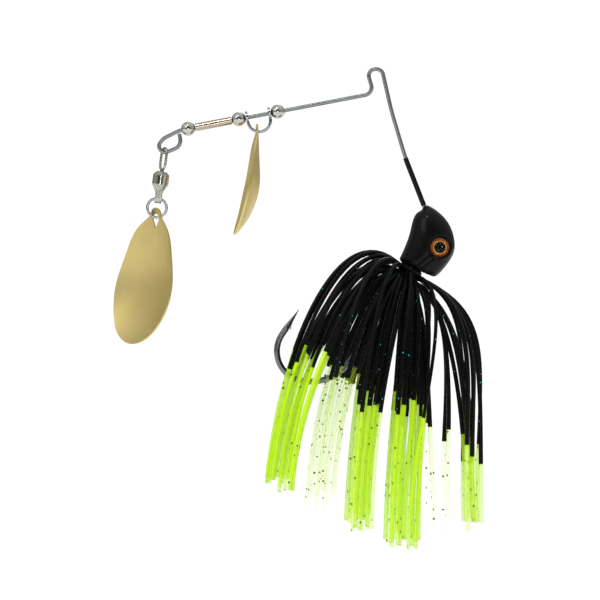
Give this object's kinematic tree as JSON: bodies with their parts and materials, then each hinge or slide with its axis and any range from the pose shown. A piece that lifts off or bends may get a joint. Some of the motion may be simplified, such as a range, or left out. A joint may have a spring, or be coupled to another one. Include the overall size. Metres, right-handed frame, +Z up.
{
  "type": "spinnerbait",
  "caption": "Spinnerbait fishing lure: bent wire with a lead head, hook and silicone skirt on one side and two cupped spinner blades on the other.",
  "frame": {"origin": "centreline of the wire at the crown of the line-tie bend", "axes": "+Z up as the bait hangs from its line tie; the blade arm points to -X; the wire form and the hook lie in the XZ plane"},
  "size_m": [0.0782, 0.0432, 0.1052],
  "materials": {
    "stainless_wire": "drawn wire, bright grey",
    "black_paint": "gloss black",
    "black_nickel": "dark bright nickel",
    "eye_print": "printed rings",
    "clear_epoxy": "clear dome",
    "black_silicone": "glossy black silicone with chartreuse tips",
    "bead_nickel": "bright nickel",
    "tube_brass": "polished",
    "stirrup_steel": "drawn wire",
    "satin_gold": "satin gold plate",
    "swivel_nickel": "bright nickel",
    "ring_steel": "bright wire"
  },
  "bodies": {
    "root": {"wire_form": "stainless_wire", "wire_coat": "black_paint", "head": "black_paint", "hook": "black_nickel", "eye_left": "eye_print", "eye_right": "eye_print", "eye_dome_left": "clear_epoxy", "eye_dome_right": "clear_epoxy", "skirt_band": "black_silicone", "skirt_strands_left_rear": "black_silicone", "skirt_strands_left_fore": "black_silicone", "skirt_strands_right_fore": "black_silicone", "skirt_strands_right_rear": "black_silicone"},
    "front_bead": {"front_bead": "bead_nickel"},
    "middle_bead": {"middle_bead": "bead_nickel"},
    "rear_bead": {"rear_bead": "bead_nickel"},
    "spacer": {"spacer_tube": "tube_brass"},
    "clevis": {"clevis": "stirrup_steel"},
    "front_blade": {"front_blade": "satin_gold"},
    "swivel_eye": {"swivel_eye": "swivel_nickel", "swivel_washer": "swivel_nickel"},
    "swivel_barrel": {"swivel_barrel": "swivel_nickel", "swivel_tail": "swivel_nickel"},
    "bearing_balls": {"bearing_balls": "swivel_nickel"},
    "split_ring": {"split_ring": "ring_steel"},
    "rear_blade": {"rear_blade": "satin_gold"}
  },
  "joints": [
    {"name": "front_bead_slide", "type": "slide", "parent": "root", "child": "front_bead", "axis": [0.9823, 0, 0.1874], "range_m": [0, 0.0175]},
    {"name": "middle_bead_spin", "type": "hinge", "parent": "root", "child": "middle_bead", "pos_m": [-0.03028, 0, -0.01103], "axis": [-0.9823, 0, -0.1874], "continuous": true},
    {"name": "rear_bead_spin", "type": "hinge", "parent": "root", "child": "rear_bead", "pos_m": [-0.04137, 0, -0.01315], "axis": [-0.9823, 0, -0.1874], "continuous": true},
    {"name": "spacer_spin", "type": "hinge", "parent": "root", "child": "spacer", "pos_m": [-0.03583, 0, -0.01209], "axis": [-0.9823, 0, -0.1874], "continuous": true},
    {"name": "clevis_spin", "type": "hinge", "parent": "root", "child": "clevis", "pos_m": [-0.02598, 0, -0.01021], "axis": [-0.9823, 0, -0.1874], "continuous": true},
    {"name": "front_blade_swing", "type": "hinge", "parent": "clevis", "child": "front_blade", "pos_m": [-0.02578, 0, -0.01129], "axis": [0, 1, 0], "range_deg": [-40, 25]},
    {"name": "swivel_swing", "type": "hinge", "parent": "root", "child": "swivel_eye", "pos_m": [-0.04645, 0, -0.01695], "axis": [0, 1, 0], "range_deg": [-22, 55]},
    {"name": "barrel_spin", "type": "hinge", "parent": "swivel_eye", "child": "swivel_barrel", "pos_m": [-0.04738, 0, -0.02389], "axis": [-0.1331, 0, -0.9911], "continuous": true},
    {"name": "balls_roll", "type": "hinge", "parent": "swivel_eye", "child": "bearing_balls", "pos_m": [-0.04738, 0, -0.02389], "axis": [-0.1331, 0, -0.9911], "continuous": true},
    {"name": "ring_swing", "type": "hinge", "parent": "swivel_barrel", "child": "split_ring", "pos_m": [-0.04799, 0, -0.02845], "axis": [0.9911, 0, -0.1331], "range_deg": [-60, 60]},
    {"name": "rear_blade_swing", "type": "hinge", "parent": "split_ring", "child": "rear_blade", "pos_m": [-0.04827, 0, -0.03053], "axis": [0, 1, 0], "range_deg": [-35, 35]}
  ],
  "couplings": [
    {"joint": "balls_roll", "follows": "barrel_spin", "ratio": 0.5}
  ]
}
